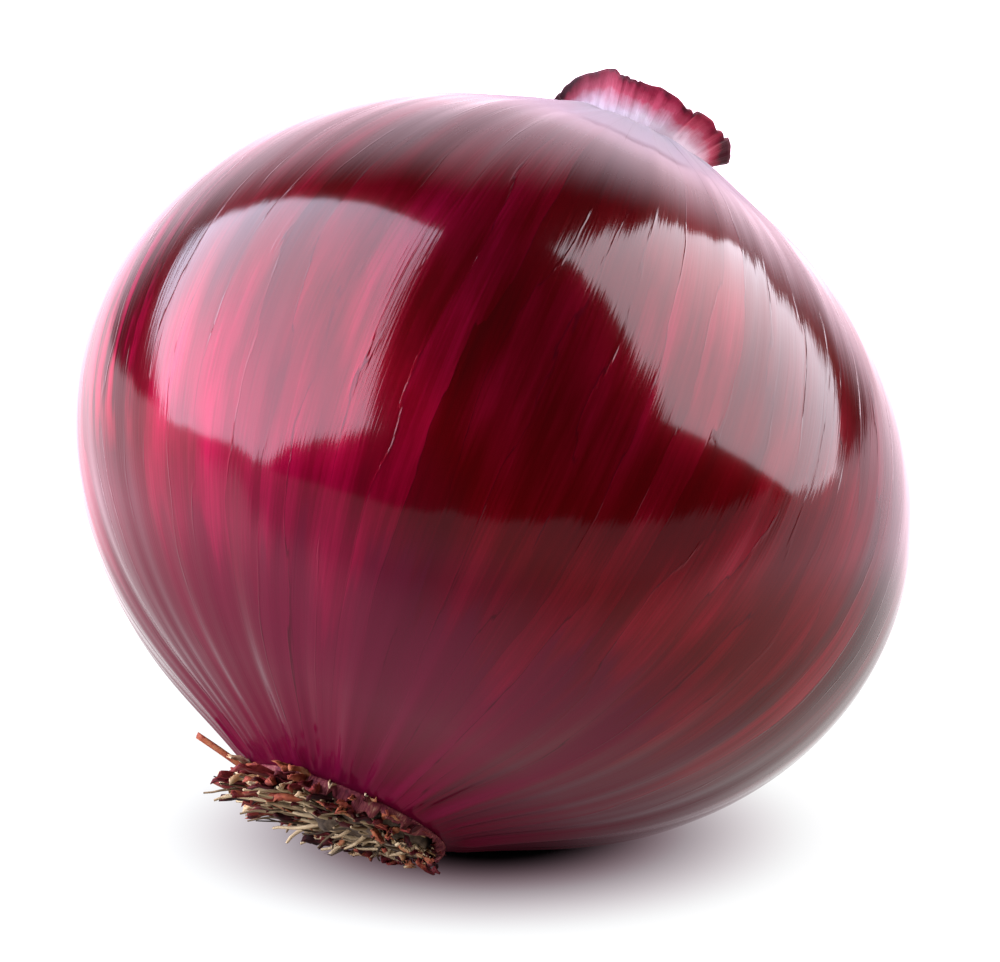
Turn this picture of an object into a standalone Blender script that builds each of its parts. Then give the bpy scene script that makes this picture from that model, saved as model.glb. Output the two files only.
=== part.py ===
"""A whole red onion, topped and dry-skinned, lying as it settles on a table.

It leans on its lower shoulder, with the root end low at the front left and the cut neck up at the back
right. Four solids make it: the bulb in its fluted skin, the torn skin round the root plate, the root plate
with its dried roots, and the dry cut neck. Each is modelled upright, about the onion's own axis with the
neck at the top and the origin in the middle of the bulb, and an empty leans them all. Metres, +Z up. The
scene's origin is the middle of the flat spot that the bulb rests on.
"""

import math
import random

import bmesh
import bpy
from mathutils import Matrix, Vector

# The bulb: half its width at the equator, and half its height from the middle to each pole.
EQUATOR_RADIUS = 0.039
POLE_HEIGHT = 0.033

# How it lies: the neck leans this far from upright, towards this bearing, counted from +X to +Y.
LEAN = math.radians(36.0)
LEAN_BEARING = math.radians(50.0)
# The skin is pressed flat by this much where the bulb touches the table.
REST_DEPTH = 0.0008

# The root end draws out to a short shank, and the neck end stands a little fuller than an ellipse.
SHANK_DROP = 0.0050
SHANK_SPREAD = 0.0095
SHOULDER_RISE = 0.0015
SHOULDER_SPREAD = 0.0130
ROOT_SEAT_RADIUS = 0.0094
NECK_SEAT_RADIUS = 0.0068

# Flutes run from the root to the neck, deepest near both ends, and the bulb is not quite round.
FLUTES = 30
SEGMENTS = 4 * FLUTES
MERIDIAN_ROWS = 22
FLUTE_DEPTH_AT_POLES = 0.00042
FLUTE_DEPTH_AT_EQUATOR = 0.00012
FLUTE_FADE = 0.0030
OUT_OF_ROUND = 0.00025

# Pieces that touch keep this gap between their faces.
GAP = 0.0003

# The torn edge of the skin: a dry band round the root plate, and the shreds that stand out of it.
BAND_INNER_RADIUS = 0.0085
BAND_OUTER_RADIUS = 0.0096
BAND_DEPTH = 0.0014
SHRED_COUNT = 30
SHRED_THICKNESS = 0.0006
SHRED_ROWS = 4

# The root plate, and the dried roots that grow from its underside.
PLATE_DEPTH = 0.0018
PLATE_EDGE = 0.0006
ROOT_COUNT = 44
ROOT_RADIUS = 0.00036
ROOT_POINTS = 7
# Roots are combed towards this bearing on the onion, where the longest ones lie.
COMB_BEARING = math.radians(128.0)
# Beyond the band, shreds stay above this distance from the middle of the bulb, and roots below it.
PARTING_HEIGHT = 0.0362
PARTING_MARGIN = 0.00015

# The dry neck: a flared collar with a ragged rim, and rings of dried leaf ends inside it.
NECK_RIM_RADIUS = 0.0084
NECK_HEIGHT = 0.0037
NECK_WALL = 0.0008
NECK_BASE = 0.0009
# Each inner ring: its radius, its height as a share of the collar's, and its number of sides.
NECK_RINGS = ((0.0050, 0.66, 36), (0.0029, 0.50, 24))
NECK_CORE_RADIUS = 0.0012

rng = random.Random(11)


def clear_scene():
    for obj in list(bpy.data.objects):
        bpy.data.objects.remove(obj)


def new_collection(name):
    collection = bpy.data.collections.new(name)
    bpy.context.scene.collection.children.link(collection)
    return collection


def new_material(name, colour, roughness):
    material = bpy.data.materials.new(name)
    material.use_nodes = True
    shader = material.node_tree.nodes["Principled BSDF"]
    shader.inputs["Base Color"].default_value = (*colour, 1.0)
    shader.inputs["Roughness"].default_value = roughness
    shader.inputs["Metallic"].default_value = 0.0
    return material


def new_object(name, data, collection):
    obj = bpy.data.objects.new(name, data)
    collection.objects.link(obj)
    return obj


def smooth_step(value):
    value = min(1.0, max(0.0, value))
    return value * value * (3.0 - 2.0 * value)


def skin_height(radius, towards_neck):
    """How far from the middle the skin is, along the axis, at this radius from the axis."""
    ellipse = POLE_HEIGHT * math.sqrt(1.0 - (radius / EQUATOR_RADIUS) ** 2)
    if towards_neck:
        return ellipse + SHOULDER_RISE * math.exp(-((radius / SHOULDER_SPREAD) ** 4))
    return ellipse + SHANK_DROP * math.exp(-((radius / SHANK_SPREAD) ** 2))


ROOT_SEAT = -skin_height(ROOT_SEAT_RADIUS, False)
NECK_SEAT = skin_height(NECK_SEAT_RADIUS, True)


def skin_profile():
    """The bulb's turned outline as (radius, height) points, from the neck's seat down to the root's."""
    first = math.asin(NECK_SEAT_RADIUS / EQUATOR_RADIUS)
    last = math.pi - math.asin(ROOT_SEAT_RADIUS / EQUATOR_RADIUS)
    points = []
    for row in range(MERIDIAN_ROWS + 1):
        angle = first + (last - first) * row / MERIDIAN_ROWS
        radius = EQUATOR_RADIUS * math.sin(angle)
        above = angle < math.pi / 2
        height = skin_height(radius, above)
        points.append((radius, height if above else -height))
    return points


def leaning_matrix():
    """The onion's own frame in the scene: leant over, standing on its lowest point, pressed flat there."""
    turn = Matrix.Rotation(LEAN_BEARING, 4, "Z") @ Matrix.Rotation(LEAN, 4, "Y")
    foot = max(skin_profile(), key=lambda p: p[0] * math.sin(LEAN) - p[1] * math.cos(LEAN))
    touching = turn @ Vector((foot[0], 0.0, foot[1]))
    return Matrix.Translation(-touching - Vector((0.0, 0.0, REST_DEPTH))) @ turn


TO_SCENE = leaning_matrix()
TO_ONION = TO_SCENE.inverted()


def turned(name, profile, steps, collection):
    """A closed profile of (radius, height) points, top to bottom down its outer side, turned about the axis."""
    mesh = bpy.data.meshes.new(name)
    edges = [(i, i + 1) for i in range(len(profile) - 1)]
    mesh.from_pydata([(radius, 0.0, height) for radius, height in profile], edges, [])
    obj = new_object(name, mesh, collection)
    screw = obj.modifiers.new("Turn", "SCREW")
    screw.steps = steps
    screw.render_steps = steps
    screw.use_merge_vertices = True
    screw.merge_threshold = 0.00001
    return obj


def settle(obj, collection):
    """Replaces an object by the plain, welded mesh that its modifiers or its curve give."""
    bpy.context.view_layer.update()
    graph = bpy.context.evaluated_depsgraph_get()
    mesh = bpy.data.meshes.new_from_object(obj.evaluated_get(graph))
    shape = bmesh.new()
    shape.from_mesh(mesh)
    bmesh.ops.remove_doubles(shape, verts=shape.verts, dist=0.000005)
    bmesh.ops.recalc_face_normals(shape, faces=shape.faces)
    shape.to_mesh(mesh)
    shape.free()
    name = obj.name
    place = obj.matrix_world.copy()
    bpy.data.objects.remove(obj)
    settled = new_object(name, mesh, collection)
    settled.matrix_world = place
    return settled


def fuse(body, repeats, solver="EXACT"):
    """Joins every object of the collection to the body in one union, and removes them."""
    union = body.modifiers.new("Fuse", "BOOLEAN")
    union.operation = "UNION"
    union.operand_type = "COLLECTION"
    union.collection = repeats
    union.solver = solver
    bpy.context.view_layer.update()
    graph = bpy.context.evaluated_depsgraph_get()
    mesh = bpy.data.meshes.new_from_object(body.evaluated_get(graph))
    body.modifiers.remove(union)
    body.data = mesh
    for obj in list(repeats.objects):
        bpy.data.objects.remove(obj)
    bpy.data.collections.remove(repeats)


def finish_piece(obj, material, lean):
    obj.data.materials.clear()
    obj.data.materials.append(material)
    obj.data.shade_smooth()
    obj.data.set_sharp_from_angle(angle=math.radians(40.0))
    obj.parent = lean


# The bulb


def flute_wave(bearing):
    """The height of the flutes round the bulb, from -1 to 1, uneven as on a grown one."""
    wave = math.cos(FLUTES * bearing)
    wave += 0.6 * math.cos(21 * bearing + 1.1)
    wave += 0.5 * math.cos(26 * bearing + 2.3)
    wave += 0.4 * math.cos(7 * bearing + 0.4)
    return wave / 2.5


def flute_depth(height):
    share = (height / POLE_HEIGHT) ** 2
    return FLUTE_DEPTH_AT_EQUATOR + (FLUTE_DEPTH_AT_POLES - FLUTE_DEPTH_AT_EQUATOR) * min(1.0, share)


def raise_flutes(mesh):
    """Moves each point of the turned bulb along the skin's own slope, up to the edge of each seat."""
    for vertex in mesh.vertices:
        x, y, height = vertex.co
        radius = math.hypot(x, y)
        seat = NECK_SEAT_RADIUS if height > 0 else ROOT_SEAT_RADIUS
        fade = smooth_step((radius - seat) / FLUTE_FADE)
        if fade == 0.0:
            continue
        bearing = math.atan2(y, x)
        swell = OUT_OF_ROUND * (math.cos(2 * bearing + 0.9) + math.cos(3 * bearing + 2.0))
        raised = fade * (flute_depth(height) * flute_wave(bearing) + swell * radius / EQUATOR_RADIUS)
        slope = Vector((x / EQUATOR_RADIUS**2, y / EQUATOR_RADIUS**2, height / POLE_HEIGHT**2)).normalized()
        vertex.co += slope * raised


def make_bulb(collection, cutters, lean):
    profile = [(0.0, NECK_SEAT), *skin_profile(), (0.0, ROOT_SEAT)]
    bulb = settle(turned("bulb", profile, SEGMENTS, collection), collection)
    raise_flutes(bulb.data)
    finish_piece(bulb, new_material("glossy red skin", (0.23, 0.008, 0.035), 0.22), lean)

    # A block whose top face is the table presses the skin flat where it touches.
    block = bmesh.new()
    bmesh.ops.create_cube(block, size=EQUATOR_RADIUS)
    bmesh.ops.translate(block, verts=block.verts, vec=(0.0, 0.0, -EQUATOR_RADIUS / 2))
    mesh = bpy.data.meshes.new("table_cutter")
    block.to_mesh(mesh)
    block.free()
    cutter = new_object("table_cutter", mesh, cutters)
    cutter.hide_render = True
    cutter.display_type = "WIRE"
    press = bulb.modifiers.new("Rest flat", "BOOLEAN")
    press.operation = "DIFFERENCE"
    press.object = cutter


# The strands at the root end: shreds of skin and dried roots


def from_axis(radius, bearing, height):
    return Vector((radius * math.cos(bearing), radius * math.sin(bearing), height))


def above_table(point, half):
    """The point in the onion's frame, lifted until a strand this thick lies on the table."""
    in_scene = TO_SCENE @ point
    in_scene.z = max(in_scene.z, half)
    return TO_ONION @ in_scene


def height_above_table(point):
    return (TO_SCENE @ point).z


# The torn skin


def shred_line(bearing, length, rise, curl):
    """The middle line of one shred, from inside the band outwards, kept off the bulb, the roots and the table."""
    half = SHRED_THICKNESS / 2
    start = 0.5 * (BAND_INNER_RADIUS + BAND_OUTER_RADIUS)
    lowest = -(PARTING_HEIGHT - PARTING_MARGIN - 2 * half)
    points = []
    for row in range(SHRED_ROWS + 1):
        along = row / SHRED_ROWS
        radius = start + length * along
        highest = -skin_height(radius, False) - GAP - 2.5 * half
        height = ROOT_SEAT - GAP - BAND_DEPTH / 2 + length * along * math.tan(rise + curl * along)
        height = min(max(height, lowest), highest)
        points.append(from_axis(radius, bearing, height))
    return points


def make_shred(name, line, bearing, width, twist, collection):
    """A strip of dry skin along its middle line, narrowing to a torn tip, with a real thickness."""
    side = Vector((-math.sin(bearing), math.cos(bearing), 0.0))
    shape = bmesh.new()
    rails = []
    for row, point in enumerate(line):
        along = row / SHRED_ROWS
        half_width = 0.5 * width * (1.0 - 0.65 * along**2)
        across = (side + Vector((0.0, 0.0, twist * along))).normalized() * half_width
        rails.append((shape.verts.new(point - across), shape.verts.new(point + across)))
    for near, far in zip(rails, rails[1:]):
        shape.faces.new((near[0], near[1], far[1], far[0]))
    mesh = bpy.data.meshes.new(name)
    shape.to_mesh(mesh)
    shape.free()
    obj = new_object(name, mesh, collection)
    solid = obj.modifiers.new("Thickness", "SOLIDIFY")
    solid.thickness = SHRED_THICKNESS
    solid.offset = 0.0
    return settle(obj, collection)


def make_torn_skin(collection, lean):
    top = ROOT_SEAT - GAP
    profile = [
        (BAND_INNER_RADIUS, top),
        (BAND_OUTER_RADIUS, top),
        (BAND_OUTER_RADIUS, top - BAND_DEPTH),
        (BAND_INNER_RADIUS, top - BAND_DEPTH),
        (BAND_INNER_RADIUS, top),
    ]
    band = settle(turned("torn_skin", profile, 48, collection), collection)
    shreds = new_collection("shreds")
    # The long strip that stands out at the left, and then the short ones all round.
    strips = [(COMB_BEARING, 0.0060, math.radians(9.0), 0.0, 0.0016, 0.2)]
    for index in range(SHRED_COUNT):
        bearing = COMB_BEARING + math.tau * (index + 0.75 + rng.uniform(-0.15, 0.15)) / (SHRED_COUNT + 0.5)
        length = rng.uniform(0.0012, 0.0030)
        rise = math.radians(rng.uniform(-34.0, 16.0))
        curl = math.radians(rng.uniform(-16.0, 16.0))
        width = rng.uniform(0.0011, 0.0017)
        strips.append((bearing, length, rise, curl, width, rng.uniform(-0.35, 0.35)))
    for index, (bearing, length, rise, curl, width, twist) in enumerate(strips):
        line = shred_line(bearing, length, rise, curl)
        lowest = min(height_above_table(point) for point in line)
        if lowest < SHRED_THICKNESS + 0.5 * width * abs(twist):
            continue
        make_shred(f"shred_{index:02d}", line, bearing, width, twist, shreds)
    fuse(band, shreds)
    finish_piece(band, new_material("dry torn skin", (0.20, 0.045, 0.035), 0.75), lean)


# The root plate and its roots


def root_line(start_radius, start_bearing, heading, length, sag, wander):
    """The middle line of one root: out of the plate's underside, then swept outwards and kept under the band."""
    underside = ROOT_SEAT - GAP - PLATE_DEPTH
    start = from_axis(start_radius, start_bearing, underside + 2 * ROOT_RADIUS)
    points = [start, from_axis(start_radius, start_bearing, underside - 0.4 * ROOT_RADIUS)]
    outer_lowest = -(PARTING_HEIGHT + PARTING_MARGIN + ROOT_RADIUS)
    for index in range(1, ROOT_POINTS - 1):
        along = index / (ROOT_POINTS - 2)
        turn = heading + wander * math.sin(math.pi * along)
        point = start + from_axis(length * along, turn, 0.0)
        radius = math.hypot(point.x, point.y)
        point.z = underside - ROOT_RADIUS - sag * smooth_step(2.0 * along)
        if radius > BAND_INNER_RADIUS - 2 * ROOT_RADIUS:
            point.z = min(point.z, outer_lowest)
        lifted = above_table(point, ROOT_RADIUS)
        if radius > BAND_INNER_RADIUS - 2 * ROOT_RADIUS and lifted.z > outer_lowest + GAP / 10:
            break
        points.append(lifted)
    return points


def make_root(name, line, thickness, collection):
    curve = bpy.data.curves.new(name, "CURVE")
    curve.dimensions = "3D"
    curve.bevel_depth = ROOT_RADIUS * thickness
    curve.bevel_resolution = 0
    curve.use_fill_caps = True
    spline = curve.splines.new("POLY")
    spline.points.add(len(line) - 1)
    for index, (point, place) in enumerate(zip(spline.points, line)):
        point.co = (*place, 1.0)
        point.radius = 1.0 - 0.45 * index / (ROOT_POINTS - 1)
    return settle(new_object(name, curve, collection), collection)


def make_root_plate(collection, lean):
    top = ROOT_SEAT - GAP
    radius = BAND_INNER_RADIUS - GAP
    profile = [
        (0.0, top),
        (radius, top),
        (radius, top - PLATE_DEPTH + PLATE_EDGE),
        (radius - PLATE_EDGE, top - PLATE_DEPTH),
        (0.0, top - PLATE_DEPTH - PLATE_EDGE / 2),
    ]
    plate = settle(turned("root_plate", profile, 40, collection), collection)
    roots = new_collection("roots")
    # The few long straws at the left and along the table, and then the mat of short ones.
    straws = [
        (0.0048, math.radians(150.0), math.radians(120.0), 0.0100, 0.0006, 0.20),
        (0.0060, math.radians(80.0), math.radians(135.0), 0.0115, 0.0003, -0.25),
        (0.0062, math.radians(215.0), math.radians(160.0), 0.0065, 0.0010, 0.15),
        (0.0030, math.radians(60.0), math.radians(-48.0), 0.0085, 0.0010, 0.10),
        (0.0055, math.radians(250.0), math.radians(-60.0), 0.0070, 0.0008, -0.10),
    ]
    spread = radius - PLATE_EDGE - 2 * ROOT_RADIUS
    for index in range(ROOT_COUNT):
        bearing = math.tau * index * 0.618034 + rng.uniform(-0.2, 0.2)
        start = spread * math.sqrt((index + 0.5) / ROOT_COUNT)
        combed = 0.5 + 0.5 * math.cos(bearing - COMB_BEARING)
        length = rng.uniform(0.0022, 0.0042) + 0.0030 * combed * rng.random()
        heading = bearing + rng.uniform(-1.1, 1.1)
        sag = rng.uniform(0.0000, 0.0011)
        straws.append((start, bearing, heading, length, sag, rng.uniform(-0.5, 0.5)))
    for index, (start, bearing, heading, length, sag, wander) in enumerate(straws):
        line = root_line(start, bearing, heading, length, sag, wander)
        make_root(f"root_{index:02d}", line, rng.uniform(0.75, 1.1), roots)
    fuse(plate, roots)
    finish_piece(plate, new_material("dried root straw", (0.42, 0.30, 0.17), 0.85), lean)


# The neck


def rim_share(bearing):
    """How tall the ragged neck stands at this bearing, as a share of its height."""
    share = 0.92 + 0.05 * math.cos(2 * bearing + 2.6)
    share += 0.045 * math.cos(5 * bearing + 0.7)
    share += 0.035 * math.cos(9 * bearing + 1.9)
    share += 0.025 * math.cos(17 * bearing)
    return share


def make_wall(name, foot_radius, rim_radius, foot, height, sides, wave, collection):
    """One papery wall: an open ring, flared, creased and ragged by formula, and then given its thickness."""
    shape = bmesh.new()
    bmesh.ops.create_cone(
        shape, cap_ends=False, segments=sides, radius1=foot_radius, radius2=foot_radius, depth=1.0
    )
    upright = [edge for edge in shape.edges if abs(edge.verts[0].co.z - edge.verts[1].co.z) > 0.5]
    bmesh.ops.subdivide_edges(shape, edges=upright, cuts=2)
    for vertex in shape.verts:
        share = vertex.co.z + 0.5
        bearing = math.atan2(vertex.co.y, vertex.co.x)
        radius = foot_radius + (rim_radius - foot_radius) * share**1.2
        radius += wave * share * (math.cos(5 * bearing + 0.6) + 0.7 * math.cos(8 * bearing + foot_radius * 900))
        vertex.co = from_axis(radius, bearing, foot + height * share * rim_share(bearing))
    mesh = bpy.data.meshes.new(name)
    shape.to_mesh(mesh)
    shape.free()
    obj = new_object(name, mesh, collection)
    solid = obj.modifiers.new("Thickness", "SOLIDIFY")
    solid.thickness = NECK_WALL
    solid.offset = 0.0
    return settle(obj, collection)


def make_neck(collection, lean):
    foot = NECK_SEAT + GAP
    base_radius = NECK_SEAT_RADIUS + 0.3 * NECK_WALL
    profile = [(0.0, foot + NECK_BASE), (base_radius, foot + NECK_BASE), (base_radius, foot), (0.0, foot)]
    neck = settle(turned("neck", profile, 64, collection), collection)
    layers = new_collection("neck layers")
    sunk = foot + 0.4 * NECK_BASE
    make_wall("collar", NECK_SEAT_RADIUS, NECK_RIM_RADIUS, sunk, NECK_HEIGHT, 64, 0.00012, layers)
    for index, (radius, share, sides) in enumerate(NECK_RINGS):
        make_wall(f"ring_{index}", radius, 1.08 * radius, sunk, share * NECK_HEIGHT, sides, 0.0002, layers)
    core = [
        (0.0, foot + 0.75 * NECK_HEIGHT),
        (0.45 * NECK_CORE_RADIUS, foot + 0.7 * NECK_HEIGHT),
        (NECK_CORE_RADIUS, foot + 0.45 * NECK_HEIGHT),
        (NECK_CORE_RADIUS, sunk),
        (0.0, sunk),
    ]
    settle(turned("core", core, 16, layers), layers)
    fuse(neck, layers)
    finish_piece(neck, new_material("papery neck", (0.45, 0.10, 0.14), 0.6), lean)


def main():
    clear_scene()
    onion = new_collection("onion")
    cutters = new_collection("cutters")
    lean = new_object("lean", None, onion)
    lean.matrix_world = TO_SCENE
    make_bulb(onion, cutters, lean)
    make_torn_skin(onion, lean)
    make_root_plate(onion, lean)
    make_neck(onion, lean)


main()
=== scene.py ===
import math

import bpy
import numpy as np
from mathutils import Matrix, Vector


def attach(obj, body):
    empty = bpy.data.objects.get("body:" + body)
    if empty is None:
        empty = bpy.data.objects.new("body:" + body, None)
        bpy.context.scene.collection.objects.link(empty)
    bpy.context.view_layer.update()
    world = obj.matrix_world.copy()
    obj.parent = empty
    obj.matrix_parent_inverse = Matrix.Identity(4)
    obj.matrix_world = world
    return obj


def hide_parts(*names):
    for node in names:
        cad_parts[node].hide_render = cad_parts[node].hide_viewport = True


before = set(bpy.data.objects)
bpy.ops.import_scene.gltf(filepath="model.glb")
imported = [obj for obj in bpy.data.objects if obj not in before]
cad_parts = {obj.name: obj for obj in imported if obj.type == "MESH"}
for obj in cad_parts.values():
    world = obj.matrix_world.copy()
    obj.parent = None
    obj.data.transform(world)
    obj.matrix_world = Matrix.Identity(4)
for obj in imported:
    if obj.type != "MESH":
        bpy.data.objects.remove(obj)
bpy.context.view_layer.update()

# The skin
# The bulb's outer scales, dry, taut and glossy, grown as one closed shell round the flesh. Flutes and
# hair-fine veins run along it from the root plate to the neck, and it is pressed flat where it lies.

EQUATOR_RADIUS = 0.039
POLE_HEIGHT = 0.033
SHANK_DROP = 0.0050
SHANK_SPREAD = 0.0095
SHOULDER_RISE = 0.0015
SHOULDER_SPREAD = 0.0130
ROOT_SEAT_RADIUS = 0.0094
NECK_SEAT_RADIUS = 0.0068
SKIN_SEGMENTS = 540
SKIN_ROWS = 170

# The onion grew about its own axis, and lies with its neck leaning over to the back and right.
LEAN = math.radians(36.0)
LEAN_BEARING = math.radians(50.0)
MIDDLE = Vector((-0.00443, -0.00528, 0.03438))
LYING = Matrix.Translation(MIDDLE) @ Matrix.Rotation(LEAN_BEARING, 4, "Z") @ Matrix.Rotation(LEAN, 4, "Y")


def laid_down(points):
    """Points about the onion's own axis, moved to where the lying onion has them, none below the table."""
    turn = np.array(LYING.to_3x3())
    placed = points @ turn.T + np.array(LYING.translation)
    placed[:, 2] = np.maximum(placed[:, 2], 0.0)
    return placed


def plain_piece(name, points, faces, material):
    mesh = bpy.data.meshes.new(name)
    mesh.from_pydata(points.tolist(), [], faces)
    mesh.materials.append(material)
    mesh.update()
    mesh.shade_smooth()
    piece = bpy.data.objects.new(name, mesh)
    bpy.context.scene.collection.objects.link(piece)
    return piece


def point_attribute(piece, name, values):
    """Keeps a number, or a vector, for each point of the piece, for its material to read."""
    kind = "FLOAT_VECTOR" if values.ndim == 2 else "FLOAT"
    layer = piece.data.attributes.new(name, kind, "POINT")
    layer.data.foreach_set("vector" if values.ndim == 2 else "value", values.astype(np.float32).ravel())


def new_material(name):
    material = bpy.data.materials.new(name)
    material.use_nodes = True
    return material, material.node_tree, material.node_tree.nodes["Principled BSDF"]


def node(tree, kind, **settings):
    made = tree.nodes.new(kind)
    for key, value in settings.items():
        setattr(made, key, value)
    return made


def stretched_noise(tree, source, scale, detail, roughness=0.5):
    """Noise along the onion's grain: fine round the bulb and long from root to neck."""
    mapping = node(tree, "ShaderNodeMapping")
    mapping.inputs["Scale"].default_value = scale
    tree.links.new(source, mapping.inputs["Vector"])
    noise = node(tree, "ShaderNodeTexNoise")
    noise.inputs["Scale"].default_value = 1.0
    noise.inputs["Detail"].default_value = detail
    noise.inputs["Roughness"].default_value = roughness
    tree.links.new(mapping.outputs["Vector"], noise.inputs["Vector"])
    return noise.outputs["Fac"]


def math_of(tree, operation, first, second=0.0, third=0.0, clamp=False):
    made = node(tree, "ShaderNodeMath", operation=operation, use_clamp=clamp)
    for socket, value in zip(made.inputs, (first, second, third)):
        if isinstance(value, bpy.types.NodeSocket):
            tree.links.new(value, socket)
        else:
            socket.default_value = value
    return made.outputs[0]


def ramp_of(tree, value, stops):
    made = node(tree, "ShaderNodeValToRGB")
    ramp = made.color_ramp
    while len(ramp.elements) < len(stops):
        ramp.elements.new(1.0)
    for element, (place, colour) in zip(ramp.elements, stops):
        element.position = place
        element.color = (*colour, 1.0)
    tree.links.new(value, made.inputs["Fac"])
    return made.outputs["Color"]


def mixed(tree, share, first, second, blend="MIX"):
    made = node(tree, "ShaderNodeMix", data_type="RGBA", blend_type=blend)
    for socket, value in zip((made.inputs[0], made.inputs[6], made.inputs[7]), (share, first, second)):
        if isinstance(value, bpy.types.NodeSocket):
            tree.links.new(value, socket)
        else:
            socket.default_value = value
    return made.outputs[2]


def facing_share(tree, source, bearing, tilt=0.0):
    """How far each spot of the grain faces this bearing, in degrees, with a share of its height."""
    made = node(tree, "ShaderNodeVectorMath", operation="DOT_PRODUCT")
    tree.links.new(source, made.inputs[0])
    made.inputs[1].default_value = (math.cos(math.radians(bearing)), math.sin(math.radians(bearing)), tilt)
    return made.outputs["Value"]


def roughen(tree, shader, height, strength, distance):
    """Small relief in the finish, from a pattern."""
    bump = node(tree, "ShaderNodeBump")
    bump.inputs["Strength"].default_value = strength
    bump.inputs["Distance"].default_value = distance
    tree.links.new(height, bump.inputs["Height"])
    tree.links.new(bump.outputs["Normal"], shader.inputs["Normal"])
    return bump.outputs["Normal"]


def ring_faces(rows, segments, widening=False):
    """Faces between rings of points. Rings run from the neck down, or outwards up a widening wall."""
    faces = []
    for row in range(rows):
        for column in range(segments):
            beside = (column + 1) % segments
            first, second = row * segments, (row + 1) * segments
            corners = (first + column, second + column, second + beside, first + beside)
            faces.append((corners[0], corners[3], corners[2], corners[1]) if widening else corners)
    return faces


def smooth(values):
    values = np.clip(values, 0.0, 1.0)
    return values * values * (3.0 - 2.0 * values)


def skin_height(radius, neck_end):
    ellipse = POLE_HEIGHT * np.sqrt(1.0 - (radius / EQUATOR_RADIUS) ** 2)
    shoulder = SHOULDER_RISE * np.exp(-((radius / SHOULDER_SPREAD) ** 4))
    shank = SHANK_DROP * np.exp(-((radius / SHANK_SPREAD) ** 2))
    return np.where(neck_end, ellipse + shoulder, -ellipse - shank)


ROOT_SEAT = float(skin_height(ROOT_SEAT_RADIUS, False))
NECK_SEAT = float(skin_height(NECK_SEAT_RADIUS, True))


def skin_relief(bearing, share):
    """How far the skin stands out: flutes, folds and ridges, where share goes from -1, root, to 1, neck."""
    ends = np.where(share < 0, 1.0, 0.45) * np.abs(share) ** 2.6
    wave = np.cos(19 * bearing + 0.3 * share) + 0.8 * np.cos(13 * bearing + 1.1)
    wave += 0.6 * np.cos(28 * bearing + 2.3 - 0.5 * share) + 0.4 * np.cos(7 * bearing + 0.4)
    relief = (0.00003 + 0.00042 * ends) * wave / 2.8
    relief += 0.00004 * np.cos(47 * bearing + 3.0 * share + 0.8) * (0.1 + ends)
    relief += 0.00003 * np.cos(73 * bearing - 2.0 * share + 1.7) * (0.1 + ends)
    relief += 0.00025 * (np.cos(2 * bearing + 0.9) + np.cos(3 * bearing + 2.0)) * np.sqrt(1.0 - share**2)
    rng = np.random.default_rng(5)
    for _ in range(60):
        place = rng.uniform(-math.pi, math.pi)
        width = rng.uniform(0.008, 0.030)
        height = rng.uniform(-0.00002, 0.00003)
        start, end = np.sort(rng.uniform(-1.2, 1.2, 2))
        drift = rng.uniform(-0.06, 0.06)
        away = (bearing - place - drift * share + math.pi) % (2 * math.pi) - math.pi
        along = smooth((share - start) / 0.25) * smooth((end - share) / 0.25)
        relief += height * along * np.exp(-((away / width) ** 2))
    return relief


first_row = math.asin(NECK_SEAT_RADIUS / EQUATOR_RADIUS)
last_row = math.pi - math.asin(ROOT_SEAT_RADIUS / EQUATOR_RADIUS)
row_angle, bearing = np.meshgrid(
    np.linspace(first_row, last_row, SKIN_ROWS + 1),
    np.arange(SKIN_SEGMENTS) * 2 * math.pi / SKIN_SEGMENTS - math.pi,
    indexing="ij",
)
radius = EQUATOR_RADIUS * np.sin(row_angle)
height = skin_height(radius, row_angle < math.pi / 2)
slope = np.stack(
    [radius * np.cos(bearing) / EQUATOR_RADIUS**2, radius * np.sin(bearing) / EQUATOR_RADIUS**2,
     height / POLE_HEIGHT**2], axis=-1
)
slope /= np.linalg.norm(slope, axis=-1, keepdims=True)
share = np.clip(height / (POLE_HEIGHT * 1.06), -1.0, 1.0)
seat = np.where(height > 0, NECK_SEAT_RADIUS, ROOT_SEAT_RADIUS)
fade = smooth((radius - seat) / 0.0025)
surface = np.stack([radius * np.cos(bearing), radius * np.sin(bearing), height], axis=-1)
surface += slope * (fade * skin_relief(bearing, share))[..., None]
grain = np.stack([np.cos(bearing), np.sin(bearing), share], axis=-1)

skin_points = surface.reshape(-1, 3)
skin_grain = grain.reshape(-1, 3)
poles = np.array([[0.0, 0.0, NECK_SEAT], [0.0, 0.0, ROOT_SEAT]])
skin_points = laid_down(np.vstack([skin_points, poles]))
skin_grain = np.vstack([skin_grain, [[0.0, 0.0, 1.0], [0.0, 0.0, -1.0]]])
skin_faces = ring_faces(SKIN_ROWS, SKIN_SEGMENTS)
top_pole, root_pole = len(skin_points) - 2, len(skin_points) - 1
for column in range(SKIN_SEGMENTS):
    beside = (column + 1) % SKIN_SEGMENTS
    skin_faces.append((top_pole, column, beside))
    skin_faces.append((root_pole, SKIN_ROWS * SKIN_SEGMENTS + beside, SKIN_ROWS * SKIN_SEGMENTS + column))

skin_finish, tree, shader = new_material("glossy red skin")
along_grain = node(tree, "ShaderNodeAttribute", attribute_name="grain").outputs["Vector"]
split = node(tree, "ShaderNodeSeparateXYZ")
tree.links.new(along_grain, split.inputs[0])
broad = stretched_noise(tree, along_grain, (4.0, 4.0, 1.5), 3.0)
streaks = stretched_noise(tree, along_grain, (14.0, 14.0, 1.7), 4.0, 0.55)
hairs = stretched_noise(tree, along_grain, (150.0, 150.0, 3.0), 2.0)
patches = stretched_noise(tree, along_grain, (9.0, 9.0, 5.0), 4.0)

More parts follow.
